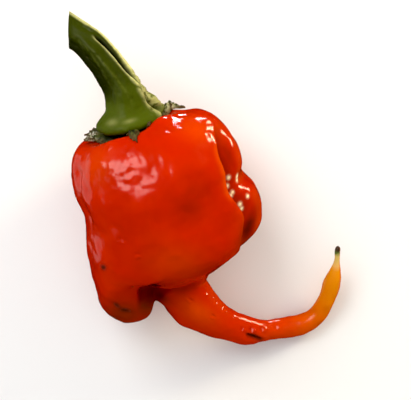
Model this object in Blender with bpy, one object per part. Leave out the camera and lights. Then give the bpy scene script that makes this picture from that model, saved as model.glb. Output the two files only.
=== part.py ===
"""A hook-tailed chilli pepper lying on its side, in three pieces: pod, calyx and cut stem.

Run it with blender --background --python part.py, or from the text editor. The named sizes
are millimetres and degrees, and the meshes are in metres with +Z up. The origin is on the flat
spot that the pod rests on, and the stalk points back along +Y.
"""

import math

import bmesh
import bpy
import numpy as np
from mathutils import Vector
from mathutils.bvhtree import BVHTree

MM = 0.001


def unit(vector):
    """The vector at length 1."""
    return np.asarray(vector, float) / np.linalg.norm(vector)


# The pod's axis runs from the middle of its crown down to the root of the tail. Angles round it
# start at SIDE, the right of the pod, and pass FACE, its upper side as it lies.
CROWN = np.array((-6.0, 16.2, 19.0))
AXIS = unit((0.25, -0.93, -0.27))
SIDE = unit((-AXIS[1], AXIS[0], 0.0))
FACE = np.cross(AXIS, SIDE)

# Outlines of the body on four sides, and of the foot, the lobe that hangs beside the tail. Each
# runs from the crown to the tail's root, as (distance down the axis, distance out from it).
RIGHT_OUTLINE = (
    (1.9, 0.0), (1.9, 3.3), (1.7, 5.8), (0.7, 7.6), (0.35, 9.6), (1.0, 13.3), (4.9, 16.0), (9.4, 17.2),
    (14.4, 18.0), (19.2, 18.3), (23.9, 17.25), (26.7, 12.9), (28.8, 8.9), (30.1, 7.1), (31.1, 6.1),
)
FACE_OUTLINE = (
    (1.9, 0.0), (2.0, 3.5), (1.6, 6.2), (0.9, 8.0), (2.7, 11.2), (6.3, 13.4), (10.2, 14.8), (14.6, 15.0),
    (19.0, 14.9), (23.4, 14.1), (26.6, 12.4), (28.6, 10.0), (29.3, 7.6), (29.4, 5.9), (30.6, 5.0),
)
LEFT_OUTLINE = (
    (1.9, 0.0), (1.7, 3.5), (1.4, 6.6), (1.3, 8.8), (2.3, 10.7), (5.1, 12.25), (9.4, 13.25), (14.4, 12.3),
    (19.8, 14.0), (24.6, 13.8), (28.2, 12.4), (30.4, 9.9), (31.4, 7.2), (31.9, 5.5), (32.9, 4.7),
)
BACK_OUTLINE = (
    (1.9, 0.0), (1.5, 3.5), (1.1, 6.6), (1.2, 9.2), (2.8, 12.2), (6.0, 14.3), (9.8, 15.4), (14.4, 15.8),
    (19.2, 15.6), (23.4, 14.4), (26.6, 12.2), (29.2, 9.4), (30.4, 7.2), (31.2, 5.9), (32.4, 5.3),
)
FOOT_OUTLINE = (
    (1.9, 0.0), (1.7, 3.5), (1.4, 6.6), (1.3, 8.8), (2.3, 10.7), (5.1, 12.25), (9.4, 13.25), (14.4, 12.3),
    (20.4, 14.0), (26.6, 13.95), (31.4, 14.35), (34.9, 11.8), (36.0, 8.9), (35.0, 5.8), (32.7, 4.3),
)
FOOT_ANGLE = 178.0
FOOT_SPREAD = 27.5

# The tail from below its root to the dried tip, as (centre, radius).
TAIL = (
    ((4.1, -15.4, 10.0), 4.7), ((6.7, -17.8, 9.0), 3.85), ((9.4, -19.5, 7.5), 3.3),
    ((12.8, -20.9, 5.7), 2.75), ((16.3, -21.7, 4.0), 2.25), ((20.0, -21.5, 2.7), 1.9),
    ((24.6, -20.8, 1.9), 2.0), ((27.4, -19.6, 2.0), 1.7), ((29.35, -17.2, 2.7), 1.65),
    ((30.5, -14.1, 3.8), 1.6), ((31.2, -11.2, 4.9), 1.25), ((31.6, -8.8, 5.8), 0.6),
    ((31.75, -6.9, 6.4), 0.45), ((31.8, -6.0, 6.7), 0.32),
)
TAIL_TIP = (31.8, -5.75, 6.8)

# Furrows down the body: the path as (distance down the axis, angle), the depth, and the widths
# on the side of smaller and of larger angles. The first is the deep crease beside the front lobe.
FURROWS = (
    (((3.0, 13), (4.4, 19), (6.2, 25), (8.4, 28), (11.0, 29), (13.0, 30.5), (15.3, 30), (17.4, 27.5),
      (19.5, 26), (21.4, 27.5), (23.8, 29), (27.0, 25)), 2.4, 3.0, 0.9),
    (((2.0, 160), (6.0, 157), (11.0, 154), (16.0, 152)), 0.5, 2.0, 2.0),
    (((3.0, 232), (10.0, 238), (20.0, 236), (28.0, 240)), 1.6, 2.4, 2.4),
    (((3.0, 305), (10.0, 300), (20.0, 304), (27.0, 300)), 1.5, 2.6, 2.2),
)
FURROW_FADE = 3.5

# Swellings and dents, as (distance down the axis, angle, height, reach down, reach across): the
# pinch between the two rear lobes, those lobes, a hollow in the face and the pocket by the foot.
SWELLINGS = (
    (14.0, 8, -1.5, 1.9, 6.0),
    (19.5, 4, 0.7, 4.5, 6.5),
    (8.5, 10, 0.5, 4.0, 5.0),
    (15.0, 62, -0.7, 5.0, 4.5),
    (28.6, 121, -3.0, 1.8, 2.6),
)

# The calyx, a ragged skirt on the crown: its thickness, the share of it lost at the edge, its
# plain reach, and its teeth as (angle round the pod's axis, reach past the skirt, half width in
# degrees, rise of the tip).
CALYX_THICK = 0.7
EDGE_THINNING = 0.5
CALYX_REACH = 5.4
TEETH = (
    (-24, 5.5, 9, 0.2), (4, 0.8, 7, 0.2), (38, 0.4, 8, 0.0), (62, 1.3, 5, 0.0), (80, 2.4, 6, 0.0),
    (122, 0.4, 9, 0.0), (152, 1.6, 6, 0.1), (174, 3.4, 8, 0.8), (196, 3.1, 7, 0.8), (219, 4.6, 9, 0.5),
    (262, 2.9, 12, 0.6), (300, 2.4, 12, 0.4),
)
# Corky lumps on top of the calyx, as (angle, distance out from the axis, height, reach).
LUMPS = (
    (-22, 7.1, 1.3, 0.8), (-27, 9.8, 0.2, 0.7), (-12, 7.3, 0.4, 0.6),
    (170, 7.5, 0.7, 0.7), (190, 7.2, 0.6, 0.6),
)
# The gap that the calyx keeps above the pod.
CLEAR = 0.35

# The stem's foot stands on the calyx. Its flat underside and thick lip are given as (rise from
# the base, radius), and the stalk above it, up to the cut end, as (centre, radius).
FOOT_AXIS = unit((-0.19, 0.92, 0.34))
FOOT_BASE = np.array((-6.4, 16.0, 19.4))
LIP = ((0.0, 4.9), (0.2, 5.7), (0.75, 6.2), (1.4, 6.1), (2.0, 5.5))
STALK = (
    ((-6.65, 19.3, 20.7), 4.1), ((-6.9, 21.2, 21.4), 3.4), ((-8.0, 23.5, 21.9), 3.0),
    ((-9.25, 25.5, 22.1), 2.85), ((-10.65, 27.4, 22.1), 2.75), ((-12.2, 29.25, 21.8), 2.7),
    ((-14.15, 31.0, 21.3), 2.65), ((-16.6, 32.6, 20.7), 2.6), ((-19.4, 34.0, 20.1), 2.6),
)
# The cut is straight across X, and a ring closer to it than CUT_MARGIN is left out.
CUT_X = -16.8
CUT_MARGIN = 0.3

# Ribs and grooves along the stem, as (angle round it, height, half width in degrees, where it
# starts and ends above the foot's base, and the length it fades over). The first is the web that
# runs down to the calyx's longest tooth, and the fourth is the slit down the front.
RIBS = (
    (-14, 1.5, 12, 0.2, 5.6, 2.0),
    (-12, 0.4, 18, 1.0, 8.0, 3.0),
    (8, 0.3, 16, 5.0, 30.0, 4.0),
    (44, -1.3, 8, 7.5, 18.5, 3.0),
    (56, 0.3, 8, 4.0, 19.0, 3.0),
    (100, 0.35, 14, -2.0, 20.0, 5.0),
    (140, -0.35, 16, 2.0, 24.0, 5.0),
    (172, 0.3, 14, -2.0, 24.0, 5.0),
    (215, -0.3, 16, 1.0, 24.0, 5.0),
    (250, 0.35, 16, -2.0, 24.0, 5.0),
    (295, -0.35, 16, 1.0, 24.0, 5.0),
)

# How fine the meshes are: the gap between rings and the points round each. The pod's points
# crowd together at the deep crease.
POD_RING_GAP = 1.5
POD_SEGMENTS = 64
CREASE_ANGLE = 30.0
CROWDING = 0.5
STEM_RING_GAP = 0.9
STEM_SEGMENTS = 48
CALYX_SEGMENTS = 96
CALYX_STEPS = (0.0, 0.35, 0.58, 0.72, 0.82, 0.91, 1.0)
SHORTEST = 1e-12

# Finishes, as (colour, roughness).
POD_FINISH = ((0.75, 0.05, 0.01), 0.25)
CALYX_FINISH = ((0.16, 0.17, 0.06), 0.7)
STEM_FINISH = ((0.06, 0.12, 0.01), 0.45)


def spline(knots, values, at):
    """Values given at the knots, joined by a natural cubic spline and read at the places in at."""
    knots = np.asarray(knots, float)
    values = np.asarray(values, float)
    shape = values.shape[1:]
    values = values.reshape(len(knots), -1)
    step = np.diff(knots)
    slope = np.diff(values, axis=0) / step[:, None]
    system = np.eye(len(knots))
    load = np.zeros_like(values)
    for i in range(1, len(knots) - 1):
        system[i, i - 1:i + 2] = step[i - 1], 2 * (step[i - 1] + step[i]), step[i]
        load[i] = 6 * (slope[i] - slope[i - 1])
    bend = np.linalg.solve(system, load)
    at = np.asarray(at, float)
    i = np.clip(np.searchsorted(knots, at, side="right") - 1, 0, len(step) - 1)
    width = step[i][:, None]
    b = (at - knots[i])[:, None] / width
    a = 1 - b
    bent = ((a**3 - a) * bend[i] + (b**3 - b) * bend[i + 1]) * width**2 / 6
    return (a * values[i] + b * values[i + 1] + bent).reshape(-1, *shape)


def loft(rings, gap):
    """Rings of points, with more rings between them so that they lie about a gap apart."""
    reach = np.linalg.norm(np.diff(rings, axis=0), axis=2).mean(axis=1)
    knots = np.concatenate(([0.0], np.cumsum(reach)))
    places = [knots[0]]
    for start, length in zip(knots, reach):
        count = max(1, round(length / gap))
        places.extend(start + length * (k + 1) / count for k in range(count))
    return spline(knots, rings, places)


def directions(angles, across, over):
    """Unit vectors at angles in radians, from the direction across towards the direction over."""
    return np.cos(angles)[..., None] * across + np.sin(angles)[..., None] * over


def turn_between(angles, middle):
    """The turn in radians from a middle angle in degrees to angles in radians, at most half a turn."""
    return (angles - np.radians(middle) + math.pi) % (2 * math.pi) - math.pi


def bell(distance, reach):
    """1 at distance 0, falling away smoothly over the reach."""
    return np.exp(-(distance / reach)**2)


def fade(value, low, high, over):
    """1 between low and high, falling smoothly to 0 over a length inside each end."""
    inside = np.clip(np.minimum(value - low, high - value) / over, 0, 1)
    return inside**2 * (3 - 2 * inside)


def tube_rings(stations, angles, turn):
    """Rings round a spine of (centre, radius). The turn, 1 or -1, picks the side where the angles start."""
    rings = []
    steps = np.gradient(np.array([centre for centre, _ in stations]), axis=0)
    for (centre, radius), step in zip(stations, steps):
        along = unit(step)
        across = unit((-turn * along[1], turn * along[0], 0.0))
        over = np.cross(along, across) * turn
        rings.append(centre + radius * directions(angles, across, over))
    return rings


def grid_normals(rings):
    """The direction out of the surface at each point of a grid of closed rings."""
    down = np.gradient(rings, axis=0)
    along_ring = np.roll(rings, -1, axis=1) - np.roll(rings, 1, axis=1)
    normals = np.cross(along_ring, down)
    length = np.linalg.norm(normals, axis=2, keepdims=True)
    return normals / np.maximum(length, SHORTEST)


def closed_mesh(name, rings):
    """A mesh over a grid of closed rings, whose first and last rings are drawn together to points."""
    made = bmesh.new()
    first = made.verts.new(rings[0].mean(axis=0) * MM)
    rows = [[made.verts.new(point * MM) for point in row] for row in rings[1:-1]]
    last = made.verts.new(rings[-1].mean(axis=0) * MM)
    count = len(rows[0])
    for k in range(count):
        after = (k + 1) % count
        made.faces.new((first, rows[0][k], rows[0][after]))
        made.faces.new((last, rows[-1][after], rows[-1][k]))
        for upper, lower in zip(rows, rows[1:]):
            made.faces.new((upper[k], lower[k], lower[after], upper[after]))
    bmesh.ops.recalc_face_normals(made, faces=made.faces)
    mesh = bpy.data.meshes.new(name)
    made.to_mesh(mesh)
    made.free()
    return mesh


def add_piece(name, rings, look):
    """An object over a grid of rings, shaded smooth, in a finish of its own."""
    colour, roughness = look
    finish = bpy.data.materials.new(name)
    finish.use_nodes = True
    shader = finish.node_tree.nodes["Principled BSDF"]
    shader.inputs["Base Color"].default_value = (*colour, 1)
    shader.inputs["Roughness"].default_value = roughness
    mesh = closed_mesh(name, rings)
    mesh.materials.append(finish)
    mesh.shade_smooth()
    piece = bpy.data.objects.new(name, mesh)
    bpy.context.collection.objects.link(piece)
    return piece


def body_rings(angles):
    """Control rings of the body: its four outlines blended round the axis, and the foot let into them."""
    sides = (
        (RIGHT_OUTLINE, np.cos(angles)), (FACE_OUTLINE, np.sin(angles)),
        (LEFT_OUTLINE, -np.cos(angles)), (BACK_OUTLINE, -np.sin(angles)),
    )
    foot = bell(turn_between(angles, FOOT_ANGLE), math.radians(FOOT_SPREAD))[:, None]
    turned = directions(angles, SIDE, FACE)
    rings = []
    for k, foot_point in enumerate(FOOT_OUTLINE):
        plain = sum(np.maximum(share, 0)[:, None]**2 * np.array(outline[k]) for outline, share in sides)
        down, out = (plain + foot * (np.array(foot_point) - plain)).T
        rings.append(CROWN + down[:, None] * AXIS + out[:, None] * turned)
    return rings


def relief(down, out, angles):
    """How far the surface stands out from the plain outlines: furrows below them and swellings above."""
    height = np.zeros_like(down)
    for path, depth, width_below, width_above in FURROWS:
        places = np.array(path)
        along = np.clip(down, places[0, 0], places[-1, 0])
        middle = spline(places[:, 0], places[:, 1:], along.ravel()).reshape(down.shape)
        across = turn_between(angles, middle) * out
        width = np.where(across < 0, width_below, width_above)
        height -= depth * bell(across, width) * fade(down, places[0, 0], places[-1, 0], FURROW_FADE)
    for place, angle, swell, reach, spread in SWELLINGS:
        height += swell * bell(down - place, reach) * bell(turn_between(angles, angle) * out, spread)
    return height


def pod_rings(gap, segments):
    """The pod's surface as rings, from the crown over the body and out along the tail."""
    even = np.arange(segments) * 2 * math.pi / segments
    angles = even - CROWDING * np.sin(even - math.radians(CREASE_ANGLE))
    controls = body_rings(angles)
    root = controls[-1]
    controls.extend(tube_rings(TAIL, angles, 1))
    controls.append(np.tile(TAIL_TIP, (segments, 1)))
    rings = loft(np.array(controls), gap)
    from_crown = rings - CROWN
    down = from_crown @ AXIS
    out = np.linalg.norm(from_crown - down[..., None] * AXIS, axis=2)
    height = relief(down, out, np.broadcast_to(angles, down.shape))
    tail_start = int(np.argmin(np.linalg.norm(rings - root, axis=2).mean(axis=1)))
    height[tail_start:] = 0
    rings = rings + grid_normals(rings) * height[..., None]
    rings[..., 2] = np.maximum(rings[..., 2], 0)
    return rings


def make_pod():
    """The fruit: a lobed body with a hanging foot and a hooked, tapering tail."""
    return add_piece("pod", pod_rings(POD_RING_GAP, POD_SEGMENTS), POD_FINISH)


def make_calyx(pod):
    """The calyx: a thin, lumpy skirt with uneven teeth, on the pod's crown under the stem's foot."""
    corners = [vertex.co for vertex in pod.data.vertices]
    surface = BVHTree.FromPolygons(corners, [face.vertices[:] for face in pod.data.polygons])
    angles = np.arange(CALYX_SEGMENTS) * 2 * math.pi / CALYX_SEGMENTS
    reach = np.full(CALYX_SEGMENTS, CALYX_REACH)
    rise = np.zeros(CALYX_SEGMENTS)
    for angle, length, half_width, lift in TEETH:
        share = bell(turn_between(angles, angle), math.radians(half_width))
        reach += share * length
        rise += share * lift
    above = CROWN - max(reach) * AXIS
    under = []
    upper = []
    for step in CALYX_STEPS:
        flat = step * reach[:, None] * directions(angles, SIDE, FACE)
        hits = [surface.ray_cast(Vector((above + spot) * MM), Vector(AXIS))[0] for spot in flat]
        lift = CLEAR + rise * step**3
        thick = np.full(CALYX_SEGMENTS, CALYX_THICK * (1 - EDGE_THINNING * step**3))
        for angle, out, height, spread in LUMPS:
            lump = out * directions(np.radians(angle), SIDE, FACE)
            thick += height * bell(np.linalg.norm(flat - lump, axis=1), spread)
        under.append(np.array(hits) / MM - lift[:, None] * AXIS)
        upper.append(under[-1] - thick[:, None] * AXIS)
    return add_piece("calyx", np.array(under + upper[::-1]), CALYX_FINISH)


def stem_rings(gap, segments):
    """The stem's surface as rings, from the underside of its foot to the cut end."""
    angles = np.arange(segments) * 2 * math.pi / segments
    across = unit((FOOT_AXIS[1], -FOOT_AXIS[0], 0.0))
    over = np.cross(across, FOOT_AXIS)
    turned = directions(angles, across, over)
    controls = [FOOT_BASE + rise * FOOT_AXIS + radius * turned for rise, radius in LIP]
    controls.extend(tube_rings(STALK, angles, -1))
    rings = loft(np.array(controls), gap)
    centres = rings.mean(axis=1)
    steps = np.linalg.norm(np.diff(centres, axis=0), axis=1)
    along = np.concatenate(([0.0], np.cumsum(steps)))
    height = np.zeros(rings.shape[:2])
    for angle, rise, half_width, start, end, over_length in RIBS:
        share = bell(turn_between(angles, angle), math.radians(half_width))
        height += rise * share * fade(along, start, end, over_length)[:, None]
    outward = rings - centres[:, None]
    rings = rings + outward / np.linalg.norm(outward, axis=2, keepdims=True) * height[..., None]
    return cut_straight(rings, CUT_X)


def cut_straight(rings, at_x):
    """The rings up to a plane across X, the last one drawn onto it, with a closing ring at each end."""
    kept = [row for row in rings if row[:, 0].min() > at_x + CUT_MARGIN]
    after = rings[len(kept)]
    share = (kept[-1][:, :1] - at_x) / (kept[-1][:, :1] - after[:, :1])
    kept.append(kept[-1] + share * (after - kept[-1]))
    ends = [np.tile(row.mean(axis=0), (len(row), 1)) for row in (kept[0], kept[-1])]
    return np.array([ends[0], *kept, ends[1]])


def make_stem():
    """The stem: a thick, ribbed stalk on a flared foot, cut straight at the far end."""
    return add_piece("stem", stem_rings(STEM_RING_GAP, STEM_SEGMENTS), STEM_FINISH)


def main():
    """Clears the scene and builds the pepper."""
    for old in list(bpy.data.objects):
        bpy.data.objects.remove(old)
    pod = make_pod()
    make_calyx(pod)
    make_stem()


main()
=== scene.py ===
"""Finished surfaces for a hook-tailed chilli pepper: glossy lobed pod, ragged calyx, ribbed stem.

The pod, calyx and stem are raised again on finer grids from the outlines that their solids have,
with the folds, pimples, dents and ribs that the solids are too coarse for. Sizes are millimetres
and degrees unless a name says otherwise, and the meshes are in metres.
"""

import logging
import math
from dataclasses import dataclass
from enum import Enum
from typing import Sequence, Union

import bpy
import numpy as np
from mathutils import Matrix, Vector
from mathutils.bvhtree import BVHTree


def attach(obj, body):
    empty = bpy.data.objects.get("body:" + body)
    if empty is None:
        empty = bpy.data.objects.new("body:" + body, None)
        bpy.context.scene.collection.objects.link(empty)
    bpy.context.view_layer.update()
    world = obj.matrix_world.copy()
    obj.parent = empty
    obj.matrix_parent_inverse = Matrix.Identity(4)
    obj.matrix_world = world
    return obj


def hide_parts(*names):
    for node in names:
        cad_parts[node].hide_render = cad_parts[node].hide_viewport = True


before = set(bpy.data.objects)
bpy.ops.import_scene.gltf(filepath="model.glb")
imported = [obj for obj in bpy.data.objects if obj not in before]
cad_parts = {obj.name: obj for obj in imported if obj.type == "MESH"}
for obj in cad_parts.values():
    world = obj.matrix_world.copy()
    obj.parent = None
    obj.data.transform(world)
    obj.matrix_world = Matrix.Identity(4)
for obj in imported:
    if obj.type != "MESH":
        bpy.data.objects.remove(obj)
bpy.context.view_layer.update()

MM = 0.001
SHORTEST = 1e-12
BODY = "root"
LOG = logging.getLogger("pepper")

# How many waves a ripple adds up, and how their lengths spread round the usual one.
RIPPLE_WAVES = 28
RIPPLE_SPREAD = (0.7, 1.6)
# The z of a normal from which the skin counts as facing up, from which a patch shows at all, and
# from which a place is looked for on it.
FACES_UP, PATCH_SHOWS, FOUND_FROM = 0.2, -0.05, 0.1

Array = np.ndarray
Pair = tuple[float, float]
Point = tuple[float, float, float]
Colour = tuple[float, float, float]
# A path or an outline.
Path = tuple[Pair, ...]
# A spine, as (centre, radius).
Spine = tuple[tuple[Point, float], ...]
# Ripples, as (length, height, seed).
Waves = tuple[tuple[float, float, int], ...]
# Rows of numbers, whose meanings stand above each table.
Table = tuple[tuple[float, ...], ...]
Settings = dict[str, object]
Sockets = dict[object, object]


def unit(vector: Sequence[float]) -> Array:
    """The vector at length 1."""
    return np.asarray(vector, float) / np.linalg.norm(vector)


# The pod's axis runs from the middle of its crown down to the root of the tail. Angles round it
# start at SIDE, the right of the pod, and pass FACE, its upper side as it lies.
CROWN = np.array((-6.0, 16.2, 19.0))
AXIS = unit((0.25, -0.93, -0.27))
SIDE = unit((-AXIS[1], AXIS[0], 0.0))
FACE = np.cross(AXIS, SIDE)


def whole_turn(count: int) -> Array:
    """Angles in radians that stand evenly round one turn."""
    return np.arange(count) * 2 * math.pi / count


def running_total(steps: Array) -> Array:
    """0 and the sum of the steps up to each."""
    return np.concatenate(([0.0], np.cumsum(steps)))


def off_axis(places: Array) -> Array:
    """Places as seen from the crown, with the way down the pod's axis taken out."""
    return places - (places @ AXIS)[..., None] * AXIS


def spline(knots: Array, values: Array, at: Array) -> Array:
    """Joins values by a natural cubic spline.

    Args:
        knots: The rising places where the values are given.
        values: One value, or array of values, for each knot.
        at: The places to read.

    Returns:
        The values at those places.
    """
    knots = np.asarray(knots, float)
    values = np.asarray(values, float)
    shape = values.shape[1:]
    values = values.reshape(len(knots), -1)
    step = np.diff(knots)
    slope = np.diff(values, axis=0) / step[:, None]
    system = np.eye(len(knots))
    load = np.zeros_like(values)
    for i in range(1, len(knots) - 1):
        system[i, i - 1:i + 2] = step[i - 1], 2 * (step[i - 1] + step[i]), step[i]
        load[i] = 6 * (slope[i] - slope[i - 1])
    bend = np.linalg.solve(system, load)
    at = np.asarray(at, float)
    i = np.clip(np.searchsorted(knots, at, side="right") - 1, 0, len(step) - 1)
    width = step[i][:, None]
    b = (at - knots[i])[:, None] / width
    a = 1 - b
    bent = ((a**3 - a) * bend[i] + (b**3 - b) * bend[i + 1]) * width**2 / 6
    return (a * values[i] + b * values[i + 1] + bent).reshape(-1, *shape)


def loft(rings: Array, gap: float) -> Array:
    """Rings of points with more rings between them.

    Args:
        rings: The rings that are given.
        gap: About how far apart the rings are to lie.

    Returns:
        All the rings.
    """
    reach = np.linalg.norm(np.diff(rings, axis=0), axis=2).mean(axis=1)
    knots = running_total(reach)
    places = [knots[0]]
    for start, length in zip(knots, reach):
        count = max(1, round(length / gap))
        places.extend(start + length * (k + 1) / count for k in range(count))
    return spline(knots, rings, np.array(places))


def directions(angles: Array, across: Array, over: Array) -> Array:
    """Unit vectors at angles in radians, from the direction across towards the direction over."""
    return np.cos(angles)[..., None] * across + np.sin(angles)[..., None] * over


def turn_between(angles: Array, middle: Array | float) -> Array:
    """The turn, half a turn at most, from a middle angle in degrees to angles in radians."""
    return (angles - np.radians(middle) + math.pi) % (2 * math.pi) - math.pi


def bell(distance: Array, reach: Array | float) -> Array:
    """1 at distance 0, falling away smoothly over the reach."""
    return np.exp(-(distance / reach)**2)


def round_share(angles: Array, middle: Array | float, half_width: float) -> Array:
    """1 at a middle angle, falling away over a half width, both in degrees, for angles in radians."""
    return bell(turn_between(angles, middle), math.radians(half_width))


def rise_over(value: Array | float, low: float, high: float) -> Array:
    """0 up to low, 1 from high on and a smooth rise between. A low above high turns it over."""
    share = np.clip((value - low) / (high - low), 0, 1)
    return share**2 * (3 - 2 * share)


def fade(value: Array, low: float, high: float, over: float) -> Array:
    """1 between low and high, falling smoothly to 0 over a length inside each end."""
    return rise_over(np.minimum(value - low, high - value), 0.0, over)


def facing_up(normals: Array, low: float = 0.0) -> Array:
    """1 where the skin faces up, and 0 where the z of its normal is below low."""
    return rise_over(normals[..., 2], low, FACES_UP)


def toward(turn: float, lift: float) -> Array:
    """The direction at a turn from x and a lift above level, in degrees."""
    turn, lift = math.radians(turn), math.radians(lift)
    return np.array((math.cos(turn) * math.cos(lift), math.sin(turn) * math.cos(lift), math.sin(lift)))


def off_path(x: Array, y: Array, path: Path) -> tuple[Array, Array]:
    """How far places on a flat sheet lie from a path of straight runs.

    Args:
        x: The places' first coordinate.
        y: The places' second coordinate.
        path: The path's corners.

    Returns:
        The distance from the path, minus on its right, and the share of the path that is passed.
    """
    nearest = np.full(x.shape, np.inf)
    signed = np.zeros(x.shape)
    passed = np.zeros(x.shape)
    runs = len(path) - 1
    for k, ((x0, y0), (x1, y1)) in enumerate(zip(path, path[1:])):
        length = math.hypot(x1 - x0, y1 - y0)
        way_x, way_y = (x1 - x0) / length, (y1 - y0) / length
        step = np.clip((x - x0) * way_x + (y - y0) * way_y, 0, length)
        gap_x, gap_y = x - x0 - step * way_x, y - y0 - step * way_y
        gap = np.hypot(gap_x, gap_y)
        closer = gap < nearest
        nearest = np.where(closer, gap, nearest)
        signed = np.where(closer, np.copysign(gap, way_x * gap_y - way_y * gap_x), signed)
        passed = np.where(closer, (k + step / length) / runs, passed)
    return signed, passed


def ripple(points: Array, length: float, seed: int) -> Array:
    """An even, wandering roughness made of plane waves that run every way.

    Args:
        points: Places, as an array whose last axis is x, y, z.
        length: The usual length of a wave.
        seed: Which pattern to draw.

    Returns:
        A height for each place, with a spread of about 1.
    """
    draw = np.random.default_rng(seed)
    ways = draw.normal(size=(RIPPLE_WAVES, 3))
    ways /= np.linalg.norm(ways, axis=1, keepdims=True)
    turns = 2 * math.pi / (length * draw.uniform(*RIPPLE_SPREAD, RIPPLE_WAVES))
    shifts = draw.uniform(0, 2 * math.pi, RIPPLE_WAVES)
    height = np.zeros(points.shape[:-1])
    for way, turn, shift in zip(ways, turns, shifts):
        height += np.cos(points @ way * turn + shift)
    return height * math.sqrt(2 / RIPPLE_WAVES)


def rippled(points: Array, waves: Waves) -> Array:
    """The height at each point of several ripples together."""
    return sum(height * ripple(points, length, seed) for length, height, seed in waves)


def tube_rings(stations: Spine, angles: Array, turn: int) -> list[Array]:
    """Rings round a spine.

    Args:
        stations: The spine's (centre, radius) pairs.
        angles: The angles of a ring's points, in radians.
        turn: 1 or -1, the side where the angles start.

    Returns:
        One ring of points for each station.
    """
    rings = []
    steps = np.gradient(np.array([centre for centre, _ in stations]), axis=0)
    for (centre, radius), step in zip(stations, steps):
        along = unit(step)
        across = unit((-turn * along[1], turn * along[0], 0.0))
        over = np.cross(along, across) * turn
        rings.append(centre + radius * directions(angles, across, over))
    return rings


def grid_normals(rings: Array) -> Array:
    """The directions out of a surface.

    Args:
        rings: The surface's points, as a grid of closed rings.

    Returns:
        A vector of length 1 for each point.
    """
    down = np.gradient(rings, axis=0)
    along_ring = np.roll(rings, -1, axis=1) - np.roll(rings, 1, axis=1)
    normals = np.cross(along_ring, down)
    length = np.linalg.norm(normals, axis=2, keepdims=True)
    return normals / np.maximum(length, SHORTEST)


def grid_mesh(name: str, rings: Array, masks: dict[str, Array],
              finish: bpy.types.Material) -> bpy.types.Object:
    """An object over a grid of closed rings, closed by a fan at each end and shaded smooth.

    Args:
        name: The piece's name.
        rings: Points as (ring, place on the ring, x y z). The end rings are drawn to a point.
        masks: Named numbers for each point of the grid, kept on the mesh for its finish.
        finish: The piece's material.

    Returns:
        The new object.
    """
    count = rings.shape[1]
    inner = rings[1:-1].reshape(-1, 3)
    corners = np.concatenate((inner, rings[:1].mean(axis=1), rings[-1:].mean(axis=1))) * MM
    first, last = len(inner), len(inner) + 1
    places = np.arange(len(inner)).reshape(-1, count)
    after = np.roll(places, -1, axis=1)
    quads = np.stack((places[:-1], places[1:], after[1:], after[:-1]), axis=-1).reshape(-1, 4)
    faces = quads.tolist()
    faces += [(first, a, b) for a, b in zip(places[0].tolist(), after[0].tolist())]
    faces += [(last, b, a) for a, b in zip(places[-1].tolist(), after[-1].tolist())]
    mesh = bpy.data.meshes.new(name)
    mesh.from_pydata(corners.tolist(), [], faces)
    for mask, values in masks.items():
        ends = [values[0].mean(), values[-1].mean()]
        spread = np.concatenate((values[1:-1].ravel(), ends)).astype(np.float32)
        mesh.attributes.new(mask, "FLOAT", "POINT").data.foreach_set("value", spread)
    mesh.shade_smooth()
    mesh.materials.append(finish)
    piece = bpy.data.objects.new(name, mesh)
    bpy.context.collection.objects.link(piece)
    return piece


Number = Union["Signal", float]


class Signal:
    """A socket of numbers in a material, which Python's arithmetic turns into Math nodes."""

    def __init__(self, sheet: "Sheet", socket: bpy.types.NodeSocket) -> None:
        """Wraps a socket of the sheet."""
        self.sheet = sheet
        self.socket = socket

    def _math(self, operation: str, first: Number, second: Number) -> "Signal":
        """A Math node over two numbers."""
        return self.sheet.signal("ShaderNodeMath", {"operation": operation}, {0: first, 1: second})

    def __add__(self, other: Number) -> "Signal":
        """Self plus other."""
        return self._math("ADD", self, other)

    def __sub__(self, other: Number) -> "Signal":
        """Self minus other."""
        return self._math("SUBTRACT", self, other)

    def __rsub__(self, other: Number) -> "Signal":
        """Other minus self."""
        return self._math("SUBTRACT", other, self)

    def __mul__(self, other: Number) -> "Signal":
        """Self times other."""
        return self._math("MULTIPLY", self, other)

    __radd__ = __add__
    __rmul__ = __mul__

    def at_most(self, other: Number) -> "Signal":
        """The smaller of the two."""
        return self._math("MINIMUM", self, other)

    def between(self, low: float, high: float) -> "Signal":
        """0 up to low, 1 from high on and a smooth rise between. A low above high turns it over.

        Args:
            low: The number up to which it is 0.
            high: The number from which it is 1.

        Returns:
            The new signal.
        """
        settings = {"interpolation_type": "SMOOTHSTEP"}
        sockets = {0: self, 1: low, 2: high, 3: 0.0, 4: 1.0}
        return self.sheet.signal("ShaderNodeMapRange", settings, sockets)


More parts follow.
